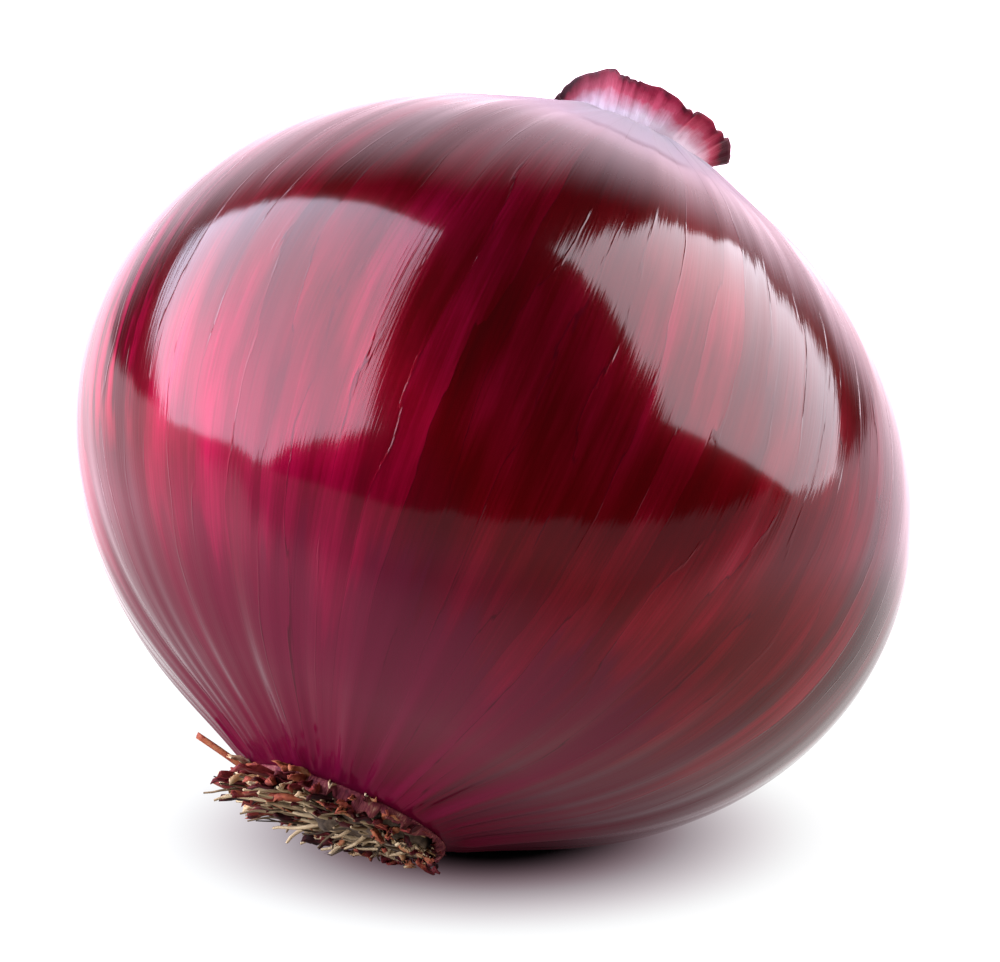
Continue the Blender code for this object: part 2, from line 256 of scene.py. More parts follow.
# Narrow bands lie between the veins, each with its own shade, and they don't run quite straight.
BANDS = 62
turn = math_of(tree, "ARCTAN2", split.outputs[1], split.outputs[0])
wander = math_of(tree, "MULTIPLY", stretched_noise(tree, along_grain, (3.0, 3.0, 1.2), 2.0), 2.4)
wander = math_of(tree, "MULTIPLY_ADD", streaks, 1.1, wander)
turns = math_of(tree, "MULTIPLY_ADD", turn, BANDS / (2 * math.pi), wander)
which = math_of(tree, "FLOORED_MODULO", math_of(tree, "FLOOR", turns), float(BANDS))
shade = node(tree, "ShaderNodeTexWhiteNoise", noise_dimensions="1D")
tree.links.new(which, shade.inputs["W"])
band_shade = shade.outputs["Value"]
band_end = node(tree, "ShaderNodeSeparateXYZ")
tree.links.new(shade.outputs["Color"], band_end.inputs[0])

# Dark maroon, with crimson and brighter red running along the grain.
tone = math_of(tree, "MULTIPLY_ADD", streaks, 0.40, math_of(tree, "MULTIPLY", broad, 0.45))
tone = math_of(tree, "MULTIPLY_ADD", band_shade, 0.17, tone)
tone = math_of(tree, "MULTIPLY_ADD", hairs, 0.14, math_of(tree, "SUBTRACT", tone, 0.065))
crimson = ramp_of(tree, tone, [
    (0.36, (0.034, 0.0008, 0.0008)), (0.48, (0.050, 0.0003, 0.0010)), (0.57, (0.080, 0.0005, 0.0030)),
    (0.70, (0.150, 0.0015, 0.0100)),
])
magenta = ramp_of(tree, tone, [
    (0.36, (0.040, 0.0010, 0.0070)), (0.48, (0.064, 0.0006, 0.0110)), (0.57, (0.100, 0.0006, 0.0190)),
    (0.70, (0.170, 0.0020, 0.0330)),
])
# The left side and the root end lean to magenta, and the right side to a purer red.
magenta_side = facing_share(tree, along_grain, 160.0, -1.1)
hue_share = math_of(tree, "MULTIPLY_ADD", magenta_side, 1.0, -0.85, clamp=True)
pigment = mixed(tree, hue_share, crimson, magenta)
# Redder streaks flush the left side.
flushed = math_of(tree, "MULTIPLY_ADD", facing_share(tree, along_grain, 150.0), 40.0, -39.0, clamp=True)
flushed = math_of(tree, "MULTIPLY", flushed, math_of(tree, "MULTIPLY_ADD", streaks, 10.0, -4.6, clamp=True))
above_root = math_of(tree, "MULTIPLY_ADD", split.outputs[2], 6.0, 2.6, clamp=True)
flushed = math_of(tree, "MULTIPLY", flushed, above_root)
pigment = mixed(tree, flushed, pigment, (0.220, 0.003, 0.028, 1.0))
# A dusky veil rises from the root end, with a frayed edge.
fray = stretched_noise(tree, along_grain, (24.0, 24.0, 1.1), 3.0, 0.6)
uneven = math_of(tree, "MULTIPLY_ADD", fray, 0.35, split.outputs[2])
uneven = math_of(tree, "MULTIPLY_ADD", band_end.outputs[1], 0.24, uneven)
uneven = math_of(tree, "MULTIPLY_ADD", broad, 0.5, uneven)
dusk = math_of(tree, "MULTIPLY_ADD", uneven, -14.0, -0.4, clamp=True)
pigment = mixed(tree, math_of(tree, "MULTIPLY", dusk, 0.65), pigment, (0.042, 0.002, 0.008, 1.0))
# A tan cast on the right shoulder, where the outermost scale has dried through.
tan_share = math_of(tree, "MULTIPLY_ADD", broad, 0.25, facing_share(tree, along_grain, -103.0, 0.28))
tan_share = math_of(tree, "MULTIPLY_ADD", tan_share, 8.0, -8.9, clamp=True)
on_shoulder = math_of(tree, "MULTIPLY_ADD", split.outputs[2], 5.0, -1.4, clamp=True)
tan_share = math_of(tree, "MULTIPLY", tan_share, on_shoulder)
pigment = mixed(tree, math_of(tree, "MULTIPLY", tan_share, 0.6), pigment, (0.090, 0.016, 0.007, 1.0))
# Violet towards the root, and paler where the skin draws in to the neck.
to_root = math_of(tree, "MULTIPLY_ADD", split.outputs[2], -2.2, -0.9, clamp=True)
pigment = mixed(tree, math_of(tree, "MULTIPLY", to_root, 0.6), pigment, (0.115, 0.004, 0.030, 1.0))
to_neck = math_of(tree, "MULTIPLY_ADD", split.outputs[2], 5.0, -3.9, clamp=True)
pigment = mixed(tree, math_of(tree, "MULTIPLY", to_neck, 0.4), pigment, (0.100, 0.016, 0.026, 1.0))
# Painted light and shade: the colour is deepest over the shoulder, and lighter low down, standing in for
# bounce light and a reddish reflection from the pale table below.
painted_shading = ramp_of(tree, math_of(tree, "MULTIPLY_ADD", split.outputs[2], 0.5, 0.5), [
    (0.00, (1.30, 1.00, 1.00)), (0.32, (1.45, 1.00, 1.25)), (0.48, (0.86, 0.80, 1.10)),
    (0.62, (0.58, 0.60, 1.00)),
])
pigment = mixed(tree, 1.0, pigment, painted_shading, blend="MULTIPLY")
# Painted reflection: below the neck, on the side away from where it leans, a pale lilac grey stands in for
# the pale wall mirrored there, where the gloss is turned off.
painted_reflection_side = math_of(tree, "MULTIPLY_ADD", facing_share(tree, along_grain, -130.0), 2.2, 0.1, clamp=True)
drawn_in = math_of(tree, "MULTIPLY_ADD", split.outputs[2], 9.0, -6.6, clamp=True)
painted_reflection_below_neck = math_of(tree, "MULTIPLY", painted_reflection_side, drawn_in)
pigment = mixed(tree, math_of(tree, "MULTIPLY", painted_reflection_below_neck, 0.9), pigment, (0.292, 0.260, 0.286, 1.0))
# Thin raised veins between the bands, and the fine grain along them.
beside_vein = math_of(tree, "ABSOLUTE", math_of(tree, "SUBTRACT", math_of(tree, "FRACT", turns), 0.5))
vein = math_of(tree, "MULTIPLY_ADD", beside_vein, 18.0, -8.0, clamp=True)
vein = math_of(tree, "MULTIPLY", vein, math_of(tree, "MULTIPLY_ADD", patches, 5.0, -2.3, clamp=True))
crease = math_of(tree, "MULTIPLY_ADD", beside_vein, 50.0, -23.8, clamp=True)
crease = math_of(tree, "MULTIPLY", crease, math_of(tree, "MULTIPLY_ADD", streaks, 8.0, -3.6, clamp=True))
pigment = mixed(tree, math_of(tree, "MULTIPLY", crease, 0.55), pigment, (0.015, 0.0005, 0.002, 1.0))
tree.links.new(pigment, shader.inputs["Base Color"])
relief = math_of(tree, "MULTIPLY_ADD", streaks, 0.55, math_of(tree, "MULTIPLY", hairs, 0.22))
relief = math_of(tree, "MULTIPLY_ADD", vein, 0.50, relief)
tree.links.new(roughen(tree, shader, relief, 0.35, 0.00012), shader.inputs["Coat Normal"])
shader.inputs["Metallic"].default_value = 0.55
shader.inputs["Specular IOR Level"].default_value = 0.0
shader.inputs["Specular Tint"].default_value = (0.30, 0.03, 0.08, 1.0)
shader.inputs["Roughness"].default_value = 0.34
# The gloss dies out where the skin meets the root plate, and where the painted reflection lies below the
# neck.
at_root = math_of(tree, "MULTIPLY_ADD", split.outputs[2], -7.0, -5.6, clamp=True)
dull = math_of(tree, "MULTIPLY_ADD", at_root, 0.7, painted_reflection_below_neck)
tree.links.new(math_of(tree, "SUBTRACT", 1.0, dull), shader.inputs["Coat Weight"])
shader.inputs["Coat Roughness"].default_value = 0.10
shader.inputs["Coat IOR"].default_value = 1.27

skin = plain_piece("skin", skin_points, skin_faces, skin_finish)
point_attribute(skin, "grain", skin_grain)
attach(skin, "root")
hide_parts("bulb")


# The torn edge of the skin
# Where the skin was rubbed away round the root plate, it ends in a dry, ragged, red-brown band.

BAND_SEGMENTS = 360
BAND_ROWS = 7
BAND_RADIUS = 0.00945
BAND_WALL = 0.00022

band_row, band_bearing = np.meshgrid(
    np.linspace(0.0, 1.0, BAND_ROWS + 1),
    np.arange(BAND_SEGMENTS) * 2 * math.pi / BAND_SEGMENTS,
    indexing="ij",
)
rng = np.random.default_rng(21)
ragged = 0.0011 + 0.0004 * np.cos(3 * band_bearing + 1.0) + 0.0003 * np.cos(11 * band_bearing + 0.2)
for _ in range(60):
    place = rng.uniform(0, 2 * math.pi)
    width = rng.uniform(0.015, 0.06)
    away = (band_bearing - place + math.pi) % (2 * math.pi) - math.pi
    ragged += rng.uniform(-0.0008, 0.0005) * np.clip(1.0 - np.abs(away) / width, 0.0, 1.0)
ragged = np.clip(ragged, 0.0003, 0.0027)
band_radius = BAND_RADIUS + 0.00035 * band_row * np.cos(9 * band_bearing + 0.5)
band_radius += 0.00018 * band_row * np.cos(31 * band_bearing + 1.9) - 0.0004 * band_row**2
band_points = np.stack([
    band_radius * np.cos(band_bearing), band_radius * np.sin(band_bearing), ROOT_SEAT - ragged * band_row,
], axis=-1).reshape(-1, 3)
band_faces = ring_faces(BAND_ROWS, BAND_SEGMENTS)

torn_finish, tree, shader = new_material("dry torn skin")
along_grain = node(tree, "ShaderNodeAttribute", attribute_name="grain").outputs["Vector"]
split = node(tree, "ShaderNodeSeparateXYZ")
tree.links.new(along_grain, split.inputs[0])
blotches = stretched_noise(tree, along_grain, (9.0, 9.0, 1.5), 4.0, 0.6)
fibres = stretched_noise(tree, along_grain, (70.0, 70.0, 1.5), 3.0, 0.6)
tone = math_of(tree, "MULTIPLY_ADD", fibres, 0.5, math_of(tree, "MULTIPLY", blotches, 0.6))
dry_colour = ramp_of(tree, math_of(tree, "SUBTRACT", tone, 0.05), [
    (0.30, (0.020, 0.003, 0.004)), (0.42, (0.070, 0.006, 0.012)), (0.54, (0.130, 0.026, 0.026)),
    (0.64, (0.200, 0.085, 0.055)), (0.76, (0.430, 0.330, 0.240)),
])
tree.links.new(dry_colour, shader.inputs["Base Color"])
roughen(tree, shader, fibres, 0.6, 0.0001)
shader.inputs["Roughness"].default_value = 0.7
shader.inputs["Specular IOR Level"].default_value = 0.12

band = plain_piece("torn_band", laid_down(band_points), band_faces, torn_finish)
point_attribute(band, "grain", np.stack(
    [np.cos(band_bearing), np.sin(band_bearing), band_row], axis=-1).reshape(-1, 3))


def thickened(piece, thickness, offset):
    """The piece with both its faces and its edges, as a plain mesh."""
    solid = piece.modifiers.new("Thickness", "SOLIDIFY")
    solid.thickness = thickness
    solid.offset = offset
    bpy.context.view_layer.update()
    graph = bpy.context.evaluated_depsgraph_get()
    mesh = bpy.data.meshes.new_from_object(piece.evaluated_get(graph))
    piece.modifiers.remove(solid)
    piece.data = mesh
    mesh.shade_smooth()
    return piece


thickened(band, BAND_WALL, -1.0)
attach(band, "root")
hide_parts("torn_skin")


# The shreds
# Papery strips of the torn skin, red-brown and crimson, curled and combed to one side round the root
# plate. Geometry Nodes sow them on a ring, and one long rolled strip stands out on its own.


def tree_input(group, name, kind, value):
    socket = group.interface.new_socket(name=name, in_out="INPUT", socket_type=kind)
    return socket.identifier, value


def link_or_set(group, socket, value):
    if isinstance(value, bpy.types.NodeSocket):
        group.links.new(value, socket)
    else:
        socket.default_value = value


def calc(group, operation, first, second=0.0, third=0.0):
    made = group.nodes.new("ShaderNodeMath")
    made.operation = operation
    for socket, value in zip(made.inputs, (first, second, third)):
        link_or_set(group, socket, value)
    return made.outputs[0]


def combine(group, x, y, z):
    made = group.nodes.new("ShaderNodeCombineXYZ")
    for socket, value in zip(made.inputs, (x, y, z)):
        link_or_set(group, socket, value)
    return made.outputs[0]


def chance(group, low, high, seed):
    made = group.nodes.new("FunctionNodeRandomValue")
    made.data_type = "FLOAT"
    link_or_set(group, made.inputs[2], low)
    link_or_set(group, made.inputs[3], high)
    link_or_set(group, made.inputs[8], seed)
    return made.outputs[1]


def sown_points(group, count, inner, outer, level, rise, seed):
    """Points spread at random over a ring, from a level to a rise above it."""
    sown = group.nodes.new("GeometryNodePoints")
    link_or_set(group, sown.inputs["Count"], count)
    angle = chance(group, -math.pi, math.pi, calc(group, "ADD", seed, 1))
    inner_area, outer_area = calc(group, "MULTIPLY", inner, inner), calc(group, "MULTIPLY", outer, outer)
    distance = calc(group, "SQRT", chance(group, inner_area, outer_area, calc(group, "ADD", seed, 2)))
    x = calc(group, "MULTIPLY", calc(group, "COSINE", angle), distance)
    y = calc(group, "MULTIPLY", calc(group, "SINE", angle), distance)
    height = calc(group, "ADD", level, chance(group, 0.0, rise, calc(group, "ADD", seed, 3)))
    link_or_set(group, sown.inputs["Position"], combine(group, x, y, height))
    return sown.outputs[0]


def grown(name, group, values, material):
    """Runs the node tree, and gives its result as a plain mesh laid down with the onion."""
    mesh = bpy.data.meshes.new(name)
    carrier = bpy.data.objects.new(name, mesh)
    bpy.context.scene.collection.objects.link(carrier)
    growth = carrier.modifiers.new("Growth", "NODES")
    growth.node_group = group
    for identifier, value in values:
        growth[identifier] = value
    bpy.context.view_layer.update()
    graph = bpy.context.evaluated_depsgraph_get()
    made = bpy.data.meshes.new_from_object(carrier.evaluated_get(graph))
    carrier.modifiers.remove(growth)
    carrier.data = made
    made.materials.clear()
    made.materials.append(material)
    made.polygons.foreach_set("material_index", np.zeros(len(made.polygons), dtype=np.int32))
    points = np.zeros(len(made.vertices) * 3)
    made.vertices.foreach_get("co", points)
    made.vertices.foreach_set("co", laid_down(points.reshape(-1, 3)).ravel())
    made.update()
    made.shade_smooth()
    return carrier


def combing(group, spots, pull, stray, seed):
    """Each strand's bearing from the axis, and its heading: outwards, pulled to one side, with some stray."""
    parts = group.nodes.new("ShaderNodeSeparateXYZ")
    group.links.new(spots, parts.inputs[0])
    outwards = calc(group, "ARCTAN2", parts.outputs[1], parts.outputs[0])
    along_x = calc(group, "MULTIPLY_ADD", calc(group, "COSINE", outwards), 1.0, pull * math.cos(COMB_BEARING))
    along_y = calc(group, "MULTIPLY_ADD", calc(group, "SINE", outwards), 1.0, pull * math.sin(COMB_BEARING))
    heading = calc(group, "ARCTAN2", along_y, along_x)
    return outwards, calc(group, "ADD", heading, chance(group, -stray, stray, seed))


def combed_length(group, outwards, shortest, longest, swing, seed):
    """A random length, greatest on the side that the strands are combed to."""
    combed = calc(group, "COSINE", calc(group, "SUBTRACT", outwards, COMB_BEARING))
    length = chance(group, shortest, longest, seed)
    return calc(group, "MULTIPLY", length, calc(group, "MULTIPLY_ADD", combed, swing, 1.0 - swing))


def tinted(group, instances, seed):
    """The instances with a tint of their own, made real."""
    stored = group.nodes.new("GeometryNodeStoreNamedAttribute")
    stored.data_type = "FLOAT"
    stored.domain = "INSTANCE"
    stored.inputs["Name"].default_value = "tint"
    group.links.new(instances, stored.inputs["Geometry"])
    group.links.new(chance(group, 0.0, 1.0, seed), stored.inputs["Value"])
    real = group.nodes.new("GeometryNodeRealizeInstances")
    group.links.new(stored.outputs[0], real.inputs[0])
    return real.outputs[0]


COMB_BEARING = math.radians(128.0)
SHRED_WALL = 0.00012
RUFFLE_DEPTH = 0.0011

shred_finish, tree, shader = new_material("curled skin shreds")
tint = node(tree, "ShaderNodeAttribute", attribute_name="tint").outputs["Fac"]
spot = node(tree, "ShaderNodeTexCoord").outputs["Object"]
mottle = stretched_noise(tree, spot, (900.0, 900.0, 900.0), 3.0, 0.6)
shred_tone = math_of(tree, "MULTIPLY_ADD", mottle, 0.5, math_of(tree, "MULTIPLY", tint, 0.6))
shred_colour = ramp_of(tree, shred_tone, [
    (0.26, (0.014, 0.001, 0.001)), (0.42, (0.070, 0.004, 0.005)), (0.55, (0.150, 0.020, 0.014)),
    (0.66, (0.240, 0.065, 0.026)), (0.76, (0.230, 0.120, 0.050)), (0.88, (0.480, 0.360, 0.210)),
])
tree.links.new(shred_colour, shader.inputs["Base Color"])
roughen(tree, shader, mottle, 0.5, 0.0001)
shader.inputs["Roughness"].default_value = 0.65
shader.inputs["Specular IOR Level"].default_value = 0.12

shred_tree = bpy.data.node_groups.new("shreds round the root plate", "GeometryNodeTree")
shred_values = [
    tree_input(shred_tree, "Count", "NodeSocketInt", 440),
    tree_input(shred_tree, "Inner Radius", "NodeSocketFloat", 0.0040),
    tree_input(shred_tree, "Outer Radius", "NodeSocketFloat", 0.0093),
    tree_input(shred_tree, "Level", "NodeSocketFloat", ROOT_SEAT - 0.0022),
    tree_input(shred_tree, "Shortest", "NodeSocketFloat", 0.0016),
    tree_input(shred_tree, "Longest", "NodeSocketFloat", 0.0042),
    tree_input(shred_tree, "Width", "NodeSocketFloat", 0.0009),
    tree_input(shred_tree, "Seed", "NodeSocketInt", 4),
    tree_input(shred_tree, "Finish", "NodeSocketMaterial", shred_finish),
]
shred_tree.interface.new_socket(name="Geometry", in_out="OUTPUT", socket_type="NodeSocketGeometry")
given = shred_tree.nodes.new("NodeGroupInput").outputs
strip = shred_tree.nodes.new("GeometryNodeMeshGrid")
for name, value in {"Size X": 1.0, "Size Y": 1.0, "Vertices X": 8, "Vertices Y": 3}.items():
    strip.inputs[name].default_value = value
where = shred_tree.nodes.new("GeometryNodeInputPosition").outputs[0]
parts = shred_tree.nodes.new("ShaderNodeSeparateXYZ")
shred_tree.links.new(where, parts.inputs[0])
reach = calc(shred_tree, "ADD", parts.outputs[0], 0.5)
narrow = calc(shred_tree, "MULTIPLY_ADD", calc(shred_tree, "POWER", reach, 2.0), -0.75, 1.0)
across = calc(shred_tree, "MULTIPLY", parts.outputs[1], narrow)
fold = calc(shred_tree, "MULTIPLY", calc(shred_tree, "ABSOLUTE", parts.outputs[1]), 0.35)
bend = calc(shred_tree, "MULTIPLY_ADD", calc(shred_tree, "POWER", reach, 2.0), -0.25, fold)
shaped = shred_tree.nodes.new("GeometryNodeSetPosition")
shred_tree.links.new(strip.outputs[0], shaped.inputs["Geometry"])
shred_tree.links.new(combine(shred_tree, reach, across, bend), shaped.inputs["Position"])
points = sown_points(shred_tree, given["Count"], given["Inner Radius"], given["Outer Radius"],
                     given["Level"], 0.0024, given["Seed"])
outwards, heading = combing(shred_tree, where, 0.9, 0.9, 31)
dip = chance(shred_tree, -0.12, 0.22, 32)
roll = chance(shred_tree, -1.3, 1.3, 33)
placed = shred_tree.nodes.new("GeometryNodeInstanceOnPoints")
shred_tree.links.new(points, placed.inputs["Points"])
shred_tree.links.new(shaped.outputs[0], placed.inputs["Instance"])
shred_tree.links.new(combine(shred_tree, roll, dip, heading), placed.inputs["Rotation"])
length = combed_length(shred_tree, outwards, given["Shortest"], given["Longest"], 0.36, 34)
breadth = calc(shred_tree, "MULTIPLY", given["Width"], chance(shred_tree, 0.5, 1.4, 35))
shred_tree.links.new(combine(shred_tree, length, breadth, length), placed.inputs["Scale"])
real = tinted(shred_tree, placed.outputs[0], 36)
ruffle = shred_tree.nodes.new("ShaderNodeTexNoise")
ruffle.inputs["Scale"].default_value = 900.0
ruffle.inputs["Detail"].default_value = 2.0
centred = shred_tree.nodes.new("ShaderNodeVectorMath")
centred.operation = "MULTIPLY_ADD"
shred_tree.links.new(ruffle.outputs["Color"], centred.inputs[0])
centred.inputs[1].default_value = (RUFFLE_DEPTH,) * 3
centred.inputs[2].default_value = (-RUFFLE_DEPTH / 2,) * 3
ruffled = shred_tree.nodes.new("GeometryNodeSetPosition")
shred_tree.links.new(real, ruffled.inputs["Geometry"])
shred_tree.links.new(centred.outputs[0], ruffled.inputs["Offset"])
coloured = shred_tree.nodes.new("GeometryNodeSetMaterial")
shred_tree.links.new(ruffled.outputs[0], coloured.inputs["Geometry"])
shred_tree.links.new(given["Finish"], coloured.inputs["Material"])
shred_tree.links.new(coloured.outputs[0], shred_tree.nodes.new("NodeGroupOutput").inputs[0])

shreds = thickened(grown("shreds", shred_tree, shred_values, shred_finish), SHRED_WALL, 0.0)
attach(shreds, "root")

# One long strip stands out at the left, rolled up on itself.
STRIP_STEPS = 12
STRIP_SIDES = 6
STRIP_START = 0.0078
STRIP_LENGTH = 0.0074
STRIP_TINT = 0.66
outward = np.array([math.cos(COMB_BEARING), math.sin(COMB_BEARING), 0.0])
sideways = np.array([-math.sin(COMB_BEARING), math.cos(COMB_BEARING), 0.0])
strip_points = []
for step in range(STRIP_STEPS + 1):
    along_strip = step / STRIP_STEPS
    middle = outward * (STRIP_START + STRIP_LENGTH * along_strip)
    middle = middle + sideways * 0.0006 * math.sin(2.2 * along_strip)
    middle = middle + np.array([0.0, 0.0, ROOT_SEAT - 0.0008 + 0.0016 * along_strip])
    wide, thick = 0.00044 + 0.00014 * along_strip**3, 0.00030
    for side in range(STRIP_SIDES):
        turn_round = 2 * math.pi * side / STRIP_SIDES + 0.5 * along_strip
        lift = np.array([0.0, 0.0, thick * math.sin(turn_round)])
        strip_points.append(middle + sideways * wide * math.cos(turn_round) + lift)
strip_start = tuple(reversed(range(STRIP_SIDES)))
strip_end = tuple(STRIP_STEPS * STRIP_SIDES + side for side in range(STRIP_SIDES))
strip_faces = [strip_start, strip_end] + ring_faces(STRIP_STEPS, STRIP_SIDES, widening=True)
long_strip = plain_piece("long_shred", laid_down(np.array(strip_points)), strip_faces, shred_finish)
point_attribute(long_strip, "tint", np.full(len(strip_points), STRIP_TINT))
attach(long_strip, "root")


# The root plate
# The corky end of the stem that the scales and the roots grow from, dry, pitted and tan. It shows
# between the roots, inside the torn band.

PLATE_RADIUS = 0.0082
PLATE_SEGMENTS = 120
PLATE_RINGS = 16
PLATE_TOP = ROOT_SEAT - 0.0001

ring_share, plate_bearing = np.meshgrid(
    np.linspace(1.0, 0.06, PLATE_RINGS),
    np.arange(PLATE_SEGMENTS) * 2 * math.pi / PLATE_SEGMENTS,
    indexing="ij",
)
lumps = np.zeros_like(ring_share)
rng = np.random.default_rng(8)
for _ in range(90):
    spot_radius, spot_bearing = PLATE_RADIUS * math.sqrt(rng.random()), rng.uniform(0, 2 * math.pi)
    dx = PLATE_RADIUS * ring_share * np.cos(plate_bearing) - spot_radius * math.cos(spot_bearing)
    dy = PLATE_RADIUS * ring_share * np.sin(plate_bearing) - spot_radius * math.sin(spot_bearing)
    lumps += rng.uniform(-0.0004, 0.0006) * np.exp(-(dx**2 + dy**2) / rng.uniform(0.0005, 0.0012) ** 2)
plate_drop = 0.0012 + 0.0005 * (1.0 - ring_share**4) + lumps * (1.0 - 0.6 * ring_share)
plate_surface = np.stack([
    PLATE_RADIUS * ring_share * np.cos(plate_bearing), PLATE_RADIUS * ring_share * np.sin(plate_bearing),
    ROOT_SEAT - plate_drop,
], axis=-1)
plate_top = plate_surface[0].copy()
plate_top[:, 2] = PLATE_TOP
plate_middles = [[0.0, 0.0, PLATE_TOP], [0.0, 0.0, ROOT_SEAT - 0.0018]]
plate_points = np.vstack([plate_top, plate_surface.reshape(-1, 3), plate_middles])
plate_faces = ring_faces(PLATE_RINGS, PLATE_SEGMENTS)
last_ring = PLATE_RINGS * PLATE_SEGMENTS
for column in range(PLATE_SEGMENTS):
    beside = (column + 1) % PLATE_SEGMENTS
    plate_faces.append((len(plate_points) - 2, column, beside))
    plate_faces.append((len(plate_points) - 1, last_ring + beside, last_ring + column))

plate_finish, tree, shader = new_material("corky root plate")
spot = node(tree, "ShaderNodeTexCoord").outputs["Object"]
cork = stretched_noise(tree, spot, (700.0, 700.0, 700.0), 5.0, 0.6)
cork_colour = ramp_of(tree, cork, [
    (0.32, (0.020, 0.012, 0.008)), (0.50, (0.080, 0.052, 0.032)), (0.68, (0.190, 0.140, 0.090)),
])
tree.links.new(cork_colour, shader.inputs["Base Color"])
roughen(tree, shader, cork, 0.8, 0.0003)
shader.inputs["Roughness"].default_value = 0.9
shader.inputs["Specular IOR Level"].default_value = 0.2

plate = plain_piece("root_plate_cork", laid_down(plate_points), plate_faces, plate_finish)
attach(plate, "root")
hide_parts("root_plate")


# The roots
# Dried, straw-coloured roots, trimmed short, matted and combed to one side as the onion was pulled and
# dried. Geometry Nodes sow them under the root plate.

root_finish, tree, shader = new_material("dried root straw")
tint = node(tree, "ShaderNodeAttribute", attribute_name="tint").outputs["Fac"]
spot = node(tree, "ShaderNodeTexCoord").outputs["Object"]
mottle = stretched_noise(tree, spot, (600.0, 600.0, 600.0), 4.0, 0.6)
root_tone = math_of(tree, "MULTIPLY_ADD", mottle, 0.5, math_of(tree, "MULTIPLY", tint, 0.6))
straw = ramp_of(tree, root_tone, [
    (0.28, (0.018, 0.010, 0.005)), (0.44, (0.080, 0.048, 0.022)), (0.60, (0.180, 0.115, 0.056)),
    (0.82, (0.400, 0.290, 0.160)),
])
tree.links.new(straw, shader.inputs["Base Color"])
roughen(tree, shader, mottle, 0.5, 0.0001)
shader.inputs["Roughness"].default_value = 0.7
shader.inputs["Specular IOR Level"].default_value = 0.15

root_tree = bpy.data.node_groups.new("dried roots", "GeometryNodeTree")
root_values = [
    tree_input(root_tree, "Count", "NodeSocketInt", 230),
    tree_input(root_tree, "Spread", "NodeSocketFloat", 0.0076),
    tree_input(root_tree, "Level", "NodeSocketFloat", ROOT_SEAT - 0.0017),
    tree_input(root_tree, "Shortest", "NodeSocketFloat", 0.0022),
    tree_input(root_tree, "Longest", "NodeSocketFloat", 0.0075),
    tree_input(root_tree, "Thickness", "NodeSocketFloat", 0.00021),
    tree_input(root_tree, "Seed", "NodeSocketInt", 9),
    tree_input(root_tree, "Finish", "NodeSocketMaterial", root_finish),
]
root_tree.interface.new_socket(name="Geometry", in_out="OUTPUT", socket_type="NodeSocketGeometry")
given = root_tree.nodes.new("NodeGroupInput").outputs
thread = root_tree.nodes.new("GeometryNodeCurvePrimitiveLine")
thread.inputs["End"].default_value = (1.0, 0.0, 0.0)
parted = root_tree.nodes.new("GeometryNodeResampleCurve")
root_tree.links.new(thread.outputs[0], parted.inputs["Curve"])
parted.inputs["Count"].default_value = 9
points = sown_points(root_tree, given["Count"], 0.0, given["Spread"], given["Level"], 0.0006, given["Seed"])
where = root_tree.nodes.new("GeometryNodeInputPosition").outputs[0]
outwards, heading = combing(root_tree, where, 1.1, 0.8, 51)
dip = chance(root_tree, 0.02, 0.34, 52)
placed = root_tree.nodes.new("GeometryNodeInstanceOnPoints")
root_tree.links.new(points, placed.inputs["Points"])
root_tree.links.new(parted.outputs[0], placed.inputs["Instance"])
root_tree.links.new(combine(root_tree, 0.0, dip, heading), placed.inputs["Rotation"])
length = combed_length(root_tree, outwards, given["Shortest"], given["Longest"], 0.2, 53)
root_tree.links.new(combine(root_tree, length, length, length), placed.inputs["Scale"])
real = tinted(root_tree, placed.outputs[0], 54)
along = root_tree.nodes.new("GeometryNodeSplineParameter").outputs[0]
waver = root_tree.nodes.new("ShaderNodeTexNoise")
waver.inputs["Scale"].default_value = 230.0
waver.inputs["Detail"].default_value = 1.0
centred = root_tree.nodes.new("ShaderNodeVectorMath")
centred.operation = "SUBTRACT"
root_tree.links.new(waver.outputs["Color"], centred.inputs[0])
centred.inputs[1].default_value = (0.5, 0.5, 0.5)
grew = root_tree.nodes.new("ShaderNodeVectorMath")
grew.operation = "SCALE"
root_tree.links.new(centred.outputs[0], grew.inputs[0])
root_tree.links.new(calc(root_tree, "MULTIPLY", along, 0.0022), grew.inputs["Scale"])
wavered = root_tree.nodes.new("GeometryNodeSetPosition")
root_tree.links.new(real, wavered.inputs["Geometry"])
root_tree.links.new(grew.outputs[0], wavered.inputs["Offset"])
kept_tint = root_tree.nodes.new("GeometryNodeInputNamedAttribute")
kept_tint.data_type = "FLOAT"
kept_tint.inputs["Name"].default_value = "tint"
taper = calc(root_tree, "MULTIPLY_ADD", along, -0.55, 1.0)
stout = calc(root_tree, "MULTIPLY_ADD", kept_tint.outputs[0], 0.9, 0.55)
girth = calc(root_tree, "MULTIPLY", given["Thickness"], calc(root_tree, "MULTIPLY", taper, stout))
section = root_tree.nodes.new("GeometryNodeCurvePrimitiveCircle")
section.inputs["Resolution"].default_value = 6
section.inputs["Radius"].default_value = 1.0
swept = root_tree.nodes.new("GeometryNodeCurveToMesh")
root_tree.links.new(wavered.outputs[0], swept.inputs["Curve"])
root_tree.links.new(girth, swept.inputs["Scale"])
root_tree.links.new(section.outputs[0], swept.inputs["Profile Curve"])
swept.inputs["Fill Caps"].default_value = True
coloured = root_tree.nodes.new("GeometryNodeSetMaterial")
root_tree.links.new(swept.outputs[0], coloured.inputs["Geometry"])
root_tree.links.new(given["Finish"], coloured.inputs["Material"])
root_tree.links.new(coloured.outputs[0], root_tree.nodes.new("NodeGroupOutput").inputs[0])

roots = grown("roots", root_tree, root_values, root_finish)
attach(roots, "root")


# The neck
# The dried leaf bases, twisted off and cut: a short papery collar that flares to a ragged rim. It is pale
# where it leaves the bulb, and rose red to near black along its torn edge.

NECK_SEGMENTS = 300
NECK_ROWS = 14
NECK_FOOT = NECK_SEAT - 0.0002
NECK_HEIGHT = 0.0042
NECK_WALL = 0.00025
FACING = math.radians(-140.0)

